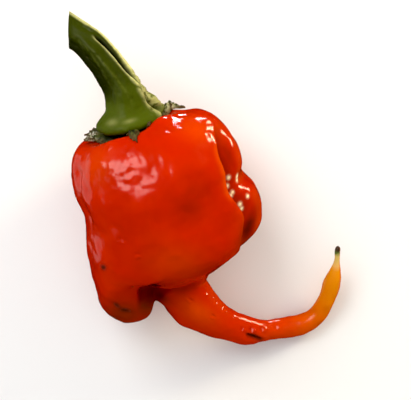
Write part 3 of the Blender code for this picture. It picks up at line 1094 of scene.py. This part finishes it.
@dataclass
class Calyx:
    """The ragged skirt of drying sepals between the pod and the stem."""

    thick: float = 0.7
    reach: float = 5.4
    clear: float = 0.12
    segments: int = 420
    # How many rings each face has, and how much closer they stand at the edge.
    steps: int = 26
    crowding: float = 1.6
    # How much of the thickness the edge loses, from which share of the way out to which, and the least
    # thickness anywhere.
    edge_loss: float = 0.75
    edge_from: Pair = (0.8, 1.0)
    least_thick: float = 0.08
    edge_waves: Waves = ((1.1, 0.22, 31), (0.5, 0.12, 32))
    top_waves: Waves = ((1.0, 0.12, 33), (0.45, 0.08, 34))
    top_waves_from: Pair = (0.3, 0.6)
    # The brown of the edge: how strong it is, and from which share of the way out to which.
    edge_brown: float = 0.9
    brown_from: Pair = (0.82, 1.0)
    # How much wider a lump's colour is than the lump.
    stain_spread: float = 1.3
    # How late the tips of the teeth rise, and how far above the skirt the rays down to the pod start.
    rise_power: int = 3
    headroom: float = 2.0
    # Teeth as (angle round the pod's axis, reach past the skirt, half width in degrees, rise of the tip).
    teeth: Table = (
        (-24, 5.5, 9, 0.2), (62, 2.4, 7, 0.0), (88, 4.6, 9, 0.0),
        (122, 1.6, 7, 0.0), (152, 1.6, 6, 0.1), (174, 3.4, 9, 0.6), (196, 3.2, 9, 0.6), (219, 4.6, 9, 0.5),
        (262, 2.9, 12, 0.6), (300, 2.4, 12, 0.4),
    )
    # Corky lumps on top, as (angle, distance out from the axis, height, reach, cream, grey).
    lumps: Table = (
        (-22, 7.1, 1.3, 0.8, 1.0, 0.2), (-20, 8.3, 0.75, 0.5, 0.7, 0.6), (-25, 9.0, 0.45, 0.35, 0.9, 0.9),
        (-27, 9.8, 0.35, 0.5, 0.2, 0.1), (-24, 10.5, 0.3, 0.35, 0.5, 0.0), (-12, 7.3, 0.4, 0.6, 0.5, 0.2),
        (40, 6.3, 0.5, 0.45, 0.75, 0.1), (170, 7.5, 0.6, 0.55, 0.6, 0.9), (180, 6.6, 0.45, 0.35, 0.9, 0.9),
        (190, 7.2, 0.5, 0.5, 0.4, 0.9), (205, 8.2, 0.35, 0.5, 0.2, 0.3), (215, 9.4, 0.25, 0.35, 1.0, 0.3),
    )

    def _edge(self, turned: Array, angles: Array) -> tuple[Array, Array]:
        """The skirt's torn edge.

        Args:
            turned: The directions out from the pod's axis.
            angles: Their angles, in radians.

        Returns:
            How far out the edge lies in each direction, and how far it rises off the pod.
        """
        reach = np.full(self.segments, self.reach)
        rise = np.zeros(self.segments)
        for angle, length, half_width, lift in self.teeth:
            share = round_share(angles, angle, half_width)
            reach += share * length
            rise += share * lift
        return reach + rippled(turned * reach[:, None], self.edge_waves), rise

    def _thickness(self, flat: Array, base: Array, step: float) -> Array:
        """How thick the skirt is round one ring.

        Args:
            flat: The ring's places as they lie off the pod's axis.
            base: The places on the pod below them.
            step: The ring's share of the way out to the edge.

        Returns:
            A thickness for each place.
        """
        thick = self.thick * (1 - self.edge_loss * rise_over(step, *self.edge_from))
        for angle, out, height, spread, _, _ in self.lumps:
            lump = out * directions(np.radians(angle), SIDE, FACE)
            thick = thick + height * bell(np.linalg.norm(flat - lump, axis=1), spread)
        thick = thick + rise_over(step, *self.top_waves_from) * rippled(base, self.top_waves)
        return np.maximum(thick, self.least_thick)

    def _masks(self, rings: Array, shares: Array) -> dict[str, Array]:
        """The numbers that the finish reads.

        Args:
            rings: The skirt's points.
            shares: Each ring's share of the way out to the edge.

        Returns:
            Named numbers for each point.
        """
        edge = self.edge_brown * rise_over(shares, *self.brown_from)
        pale, grey = np.zeros(rings.shape[:2]), np.zeros(rings.shape[:2])
        for angle, out, _, spread, cream, ashen in self.lumps:
            off = off_axis(rings - CROWN) - out * directions(np.radians(angle), SIDE, FACE)
            share = bell(np.linalg.norm(off, axis=2), spread * self.stain_spread)
            pale = np.maximum(pale, cream * share)
            grey = np.maximum(grey, ashen * share)
        return {"edge": np.tile(edge[:, None], self.segments), "pale": pale, "grey": grey}

    def build(self, pod: bpy.types.Object) -> bpy.types.Object:
        """The skirt, laid on the pod's crown.

        Args:
            pod: The pod that it lies on.

        Returns:
            The new piece.
        """
        corners = [vertex.co for vertex in pod.data.vertices]
        surface = BVHTree.FromPolygons(corners, [face.vertices[:] for face in pod.data.polygons])
        angles = whole_turn(self.segments)
        turned = directions(angles, SIDE, FACE)
        reach, rise = self._edge(turned, angles)
        above = CROWN - (max(reach) + self.headroom) * AXIS
        under, upper = [], []
        shares = 1 - (1 - np.linspace(0, 1, self.steps))**self.crowding
        for step in shares:
            flat = step * reach[:, None] * turned
            hits = [surface.ray_cast(Vector((above + spot) * MM), Vector(AXIS))[0] for spot in flat]
            base = np.array(hits) / MM
            lift = self.clear + rise * step**self.rise_power
            under.append(base - lift[:, None] * AXIS)
            upper.append(under[-1] - self._thickness(flat, base, step)[:, None] * AXIS)
        rings = np.array(under + upper[::-1])
        masks = self._masks(rings, np.concatenate((shares, shares[::-1])))
        return grid_mesh("calyx_skirt", rings, masks, Cork().dress())


@dataclass(frozen=True)
class Seam:
    """A wandering seam along the stem, with its path as (distance along, angle)."""

    path: Path
    height: float
    half_width: float
    fade_over: float

    def share(self, along: Array, angles: Array) -> Array:
        """How much of the seam each point has.

        Args:
            along: How far each ring is from the foot's base, as a column.
            angles: The angles of a ring's points, in radians.

        Returns:
            The share, from 0 to 1.
        """
        places = np.array(self.path, float)
        middle = np.interp(along, places[:, 0], places[:, 1])
        run = fade(along, places[0, 0], places[-1, 0], self.fade_over)
        return round_share(angles, middle, self.half_width) * run


@dataclass
class Stem:
    """The thick ribbed stalk on its flared foot, cut straight at the far end."""

    ring_gap: float = 0.22
    segments: int = 240
    # Where the straight cut is, and how far before it the last whole ring lies.
    cut_x: float = -16.8
    cut_margin: float = 0.15
    # The cut face: how many rings it has, how far out the first lies, and the least of its mask.
    cap_steps: int = 14
    cap_first: float = 0.97
    cap_least: float = 0.1
    # How far out the rings of the foot's underside lie, as shares of the first ring.
    foot_shares: tuple[float, ...] = (0.0, 0.35, 0.7)
    foot_axis: Point = (-0.19, 0.92, 0.34)
    foot_base: Point = (-6.4, 16.0, 19.4)
    # The foot's flat underside and thick lip, as (rise from the base, radius).
    lip: Path = ((0.0, 4.9), (0.2, 5.7), (0.75, 6.2), (1.4, 6.1), (2.0, 5.5))
    # The stalk above it, as (centre, radius).
    stalk: Spine = (
        ((-6.65, 19.3, 20.7), 4.1), ((-6.9, 21.2, 21.4), 3.4), ((-8.0, 23.5, 21.9), 3.0),
        ((-9.25, 25.5, 22.1), 2.85), ((-10.65, 27.4, 22.1), 2.75), ((-12.2, 29.25, 21.8), 2.7),
        ((-14.15, 31.0, 21.3), 2.5), ((-16.6, 32.6, 20.7), 2.35), ((-19.4, 34.0, 20.1), 2.3),
    )
    # Ribs and grooves, as (angle round the stem, height, half width in degrees, where it starts and
    # ends above the foot's base, and the length it fades over). The first is the web.
    ribs: Table = (
        (-14, 1.5, 12, 0.2, 5.6, 2.0), (-12, 0.4, 18, 1.0, 8.0, 3.0), (8, 0.3, 16, 5.0, 30.0, 4.0),
        (100, 0.35, 14, -2.0, 20.0, 5.0), (140, -0.35, 16, 2.0, 24.0, 5.0),
        (190, -0.9, 36, -1.5, 5.4, 2.4), (172, 0.3, 14, -2.0, 24.0, 5.0),
        (215, -0.3, 16, 1.0, 24.0, 5.0), (250, 0.35, 16, -2.0, 24.0, 5.0), (295, -0.35, 16, 1.0, 24.0, 5.0),
    )
    # The slit, which is darkened with painted shade.
    slit: Seam = Seam(
        ((7.6, 33), (8.6, 35.5), (11.2, 41), (12.8, 44), (14.4, 46.5), (15.9, 49.5), (17.0, 51)),
        -1.5, 9.0, 2.0)
    slit_lip: Seam = Seam(
        ((5.6, 26), (6.4, 30), (7.5, 40), (9.6, 49), (11.7, 53.5), (14.0, 56), (17.0, 58)), 0.3, 5.5, 1.5)
    # The foot's raised edge, with a painted highlight along it.
    foot_edge: Seam = Seam(((0.6, 20), (1.4, 18), (2.6, 17), (4.1, 26), (5.4, 36), (6.6, 42)), 0.4, 6.0, 0.8)
    # The hollow behind the foot's edge, darkened with painted shade.
    hollow: Seam = Seam(((1.2, -2), (2.4, 3), (3.8, 11), (5.4, 20)), -0.8, 8.0, 1.0)
    broad_band: Seam = Seam(((1.6, 106), (3.0, 108), (4.7, 114), (6.5, 114), (9.0, 112)), 0.05, 9.0, 1.8)
    threads: tuple[Seam, ...] = (
        Seam(((2.4, 77), (5.2, 77), (7.1, 85), (8.4, 89), (10.3, 94.5), (13.0, 99), (17.0, 101)),
             0.03, 5.0, 4.0),
        Seam(((6.0, 128), (9.0, 124), (12.0, 118), (15.0, 112), (21.0, 108)), 0.03, 6.0, 5.0),
    )
    # Pale bumps on the foot's lip, as (distance along, angle, height, reach), with the half width in
    # degrees and the strength of their colour.
    pimples: Table = ((2.4, 121, 0.12, 0.4), (2.3, 84, 0.17, 0.3))
    pimple_colour: Pair = (12.0, 0.18)
    # The lumps of the web: its (angle, half width), where it starts and ends and the length that it
    # fades over, and the lumps.
    web_side: Pair = (-4.0, 22.0)
    web_run: tuple[float, float, float] = (0.5, 9.5, 2.0)
    web_waves: Waves = ((1.0, 0.12, 43),)
    waves: Waves = ((2.4, 0.05, 41), (0.9, 0.02, 42))
    # The pale ridge, partly painted warm light on the stem's right side: its angle, where it is gone and
    # whole to each side, and where along the stem it starts and weakens, and by how much.
    ridge_angle: float = -5.0
    ridge_widths: Pair = (36.0, 18.0)
    ridge_start: Pair = (0.8, 3.0)
    ridge_end: Pair = (14.0, 20.0)
    ridge_loss: float = 0.4
    # Colours: how strong the painted highlight on the foot's edge, the broad band, and the painted shade of
    # the slit and the hollow are, the fresh green of the foot, and the (angle, half width) of the web's stain
    # and of the painted shade on the stem's dark side, with where they run.
    edge_highlight_strength: float = 0.75
    band_strength: float = 0.5
    slit_shade_strength: float = 2.6
    hollow_shade_strength: float = 0.75
    fresh_run: Pair = (10.0, 3.0)
    web_stain: Pair = (0.0, 40.0)
    web_stain_run: Pair = (10.0, 7.0)
    painted_shade_side: Pair = (160.0, 38.0)
    painted_shade_run: Pair = (4.0, 9.0)

    def _height(self, rings: Array, radius: Array, along: Array, angles: Array) -> Array:
        """The ribs, seams, bumps and lumps.

        Args:
            rings: The plain stem's points.
            radius: How far each point is from the middle of its ring.
            along: How far each ring is from the foot's base, as a column.
            angles: The angles of a ring's points, in radians.

        Returns:
            A height for each point.
        """
        height = np.zeros_like(radius)
        for angle, rise, half_width, *run in self.ribs:
            height += rise * round_share(angles, angle, half_width) * fade(along, *run)
        for seam in (self.slit, self.slit_lip, self.foot_edge, self.hollow, self.broad_band, *self.threads):
            height += seam.height * seam.share(along, angles)
        for place, angle, rise, reach in self.pimples:
            aside = turn_between(angles, angle) * radius
            height += rise * bell(np.hypot(along - place, aside), reach)
        web = round_share(angles, *self.web_side) * fade(along, *self.web_run)
        return height + web * rippled(rings, self.web_waves)

    def _cut(self, rings: Array, centres: Array, along: Array) -> tuple[Array, Array, Array]:
        """Closes the foot below and cuts the far end straight.

        Args:
            rings: The stem's points.
            centres: The middles of its rings.
            along: How far each ring is from the foot's base, as a column.

        Returns:
            The new rings, and as columns how far along each is and how far out on the cut face.
        """
        kept = int((rings[..., 0].min(axis=1) > self.cut_x + self.cut_margin).sum())
        last, way = rings[kept - 1], centres[kept] - centres[kept - 1]
        end = last + (self.cut_x - last[:, :1]) / way[0] * way
        middle, foot = end.mean(axis=0), rings[0].mean(axis=0)
        shrink = np.linspace(self.cap_first, 0.0, self.cap_steps)
        cap = [middle + share * (end - middle) for share in shrink]
        under = [foot + share * (rings[0] - foot) for share in self.foot_shares]
        places = (along[:1].repeat(len(under), 0), along[:kept], along[kept - 1:kept].repeat(len(cap) + 1, 0))
        cut = np.zeros((len(under) + kept + 1 + len(cap), 1))
        cut[-len(cap):, 0] = np.maximum(shrink, self.cap_least)
        return np.array([*under, *rings[:kept], end, *cap]), np.concatenate(places), cut

    def _masks(self, along: Array, angles: Array, cut: Array) -> dict[str, Array]:
        """The numbers that the finish reads.

        Args:
            along: How far each ring is from the foot's base, as a column.
            angles: The angles of a ring's points, in radians.
            cut: How far out on the cut face each ring lies, as a column.

        Returns:
            Named numbers for each point.
        """
        # The pale ridge, partly painted warm light, and the painted highlight on the foot's edge.
        turn = np.degrees(np.abs(turn_between(angles, self.ridge_angle)))
        pale = rise_over(turn, *self.ridge_widths) * rise_over(along, *self.ridge_start)
        pale = pale * (1 - self.ridge_loss * rise_over(along, *self.ridge_end))
        hollow = self.hollow.share(along, angles)
        pale = np.maximum(pale * (1 - hollow), self.slit_lip.share(along, angles))
        pale = np.maximum(pale, self.edge_highlight_strength * self.foot_edge.share(along, angles))
        half_width, strength = self.pimple_colour
        for place, angle, _, reach in self.pimples:
            aside = np.degrees(turn_between(angles, angle)) / half_width
            pale = np.maximum(pale, strength * bell(np.hypot((along - place) / reach, aside), 1.0))
        lines = sum(thread.share(along, angles) for thread in self.threads)
        # Painted shade in the slit and the hollow.
        slit = np.minimum(self.slit_shade_strength * self.slit.share(along, angles), 1)
        masks = {
            "foot": rise_over(along, *self.fresh_run),
            "lines": lines + self.band_strength * self.broad_band.share(along, angles),
            "pale": pale,
            "slit": np.maximum(slit, self.hollow_shade_strength * hollow),
            "web": round_share(angles, *self.web_stain) * rise_over(along, *self.web_stain_run),
            # Painted shade down the stem's dark side.
            "painted_side_shade": round_share(angles, *self.painted_shade_side) * rise_over(along, *self.painted_shade_run),
            "cut": cut,
        }
        return {name: np.broadcast_to(values, pale.shape) for name, values in masks.items()}

    def build(self) -> bpy.types.Object:
        """Raises the stem, with the masks that its finish reads.

        Returns:
            The new piece.
        """
        angles = whole_turn(self.segments)
        foot_axis = unit(self.foot_axis)
        across = unit((foot_axis[1], -foot_axis[0], 0.0))
        turned = directions(angles, across, np.cross(across, foot_axis))
        base = np.array(self.foot_base)
        controls = [base + rise * foot_axis + radius * turned for rise, radius in self.lip]
        controls.extend(tube_rings(self.stalk, angles, -1))
        rings = loft(np.array(controls), self.ring_gap)
        centres = rings.mean(axis=1)
        steps = np.linalg.norm(np.diff(centres, axis=0), axis=1)
        along = running_total(steps)[:, None]
        radius = np.linalg.norm(rings - centres[:, None], axis=2)
        outward = (rings - centres[:, None]) / np.maximum(radius, SHORTEST)[..., None]
        rings = rings + outward * self._height(rings, radius, along, angles)[..., None]
        rings = rings + outward * rippled(rings, self.waves)[..., None]
        rings, along, cut = self._cut(rings, centres, along)
        return grid_mesh("stem_stalk", rings, self._masks(along, angles, cut), Bark().dress())


class Reach(Enum):
    """What a lamp shows on, as whether it lights surfaces and whether their gloss mirrors it."""

    LIGHT = (True, False)
    GLOSS = (False, True)


@dataclass(frozen=True)
class Lamp:
    """A soft area light that stands in a direction from the pepper, with its height along up."""

    name: str
    azimuth: float
    elevation: float
    distance_m: float
    width_m: float
    height_m: float
    radiance: float
    colour: Colour
    reach: Reach
    up: Point = (0.0, 0.0, 1.0)

    def hang(self, aim: Vector) -> None:
        """Adds the light, turned to face the aim, at a power that gives it its radiance.

        Args:
            aim: The place that it shines on, in metres.
        """
        lamp = bpy.data.lights.new(self.name, "AREA")
        lamp.shape = "ELLIPSE"
        lamp.size = self.width_m
        lamp.size_y = self.height_m
        lamp.energy = self.radiance * math.pi * self.width_m * self.height_m * math.pi / 4
        lamp.color = self.colour
        holder = bpy.data.objects.new(self.name, lamp)
        holder.visible_diffuse, holder.visible_glossy = self.reach.value
        bpy.context.collection.objects.link(holder)
        away = Vector(toward(self.azimuth, self.elevation))
        holder.location = aim + away * self.distance_m
        rise = (Vector(self.up) - Vector(self.up).dot(away) * away).normalized()
        holder.rotation_mode = "QUATERNION"
        stand = Matrix((rise.cross(away), rise, away)).transposed()
        holder.rotation_quaternion = stand.to_quaternion()


@dataclass
class Studio:
    """A pale floor, soft light and a camera that looks straight down."""

    aim: Point = (0.005, 0.003, 0.015)
    camera_at: Point = (0.00729, 0.0027, 0.3235)
    lens: float = 150.0
    floor_colour: Colour = (0.86, 0.86, 0.86)
    floor_half_m: float = 1.5
    world_strength: float = 0.6
    black_point: float = 0.004
    lamps: tuple[Lamp, ...] = (
        Lamp("window", 130.0, 45.0, 0.5, 0.36, 0.38, 5.1, (1.0, 0.99, 0.98), Reach.LIGHT),
        Lamp("window glance", 143.0, 53.0, 0.5, 0.56, 0.25, 12.0, (1.0, 0.93, 0.85), Reach.GLOSS,
             (0.0, 1.0, 0.0)),
        Lamp("ceiling", 90.0, 84.0, 0.9, 0.8, 0.8, 0.6, (1.0, 0.99, 0.98), Reach.LIGHT),
        Lamp("warm side", 40.0, 20.0, 0.6, 0.2, 0.2, 22.0, (1.0, 0.86, 0.6), Reach.LIGHT),
        Lamp("low glance", 41.0, -9.0, 0.6, 0.22, 0.2, 60.0, (1.0, 0.86, 0.55), Reach.GLOSS),
        Lamp("top glance", 76.0, -25.0, 0.6, 0.16, 0.14, 60.0, (0.97, 0.95, 1.0), Reach.GLOSS),
        Lamp("left glance", 190.0, 14.0, 0.6, 0.3, 0.15, 1.2, (1.0, 0.96, 0.95), Reach.GLOSS),
        Lamp("left card", 176.0, -34.0, 0.4, 0.26, 0.2, 0.8, (1.0, 0.95, 0.9), Reach.GLOSS),
    )

    def build(self) -> None:
        """Adds the floor, world, lights and camera."""
        half = self.floor_half_m
        mesh = bpy.data.meshes.new("floor")
        corners = [(-half, -half, 0), (half, -half, 0), (half, half, 0), (-half, half, 0)]
        mesh.from_pydata(corners, [], [(0, 1, 2, 3)])
        floor = bpy.data.objects.new("floor", mesh)
        bpy.context.collection.objects.link(floor)
        mesh.materials.append(Sheet("floor").finish(Base_Color=self.floor_colour, Roughness=0.9))
        floor.visible_glossy = False
        world = bpy.data.worlds.new("studio")
        world.use_nodes = True
        sky = world.node_tree.nodes["Background"]
        sky.inputs[0].default_value = (1.0, 0.99, 0.97, 1.0)
        sky.inputs[1].default_value = self.world_strength
        world.cycles_visibility.glossy = False
        scene = bpy.context.scene
        scene.world = world
        scene.view_settings.view_transform = "Standard"
        scene.view_settings.use_curve_mapping = True
        scene.view_settings.curve_mapping.black_level = (self.black_point,) * 3
        for lamp in self.lamps:
            lamp.hang(Vector(self.aim))
        camera = bpy.data.cameras.new("camera")
        camera.lens = self.lens
        camera.clip_start = 0.01
        holder = bpy.data.objects.new("camera", camera)
        holder.location = self.camera_at
        bpy.context.collection.objects.link(holder)
        scene.camera = holder


def settle(piece: bpy.types.Object, node: str) -> None:
    """Lets a piece ride with the frame in a node's place.

    Args:
        piece: The piece.
        node: The node of the solids that it stands for.
    """
    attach(piece, BODY)
    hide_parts(node)
    LOG.info("%s: %d faces, stands for %s", piece.name, len(piece.data.polygons), node)


def main() -> None:
    """Builds the pepper's surfaces and the studio, and logs each piece's face count."""
    logging.basicConfig(level=logging.INFO, format="%(message)s")
    Studio().build()
    pod = Pod().build()
    settle(pod, "pod")
    settle(Calyx().build(pod), "calyx")
    settle(Stem().build(), "stem")


if __name__ == "__main__":
    main()
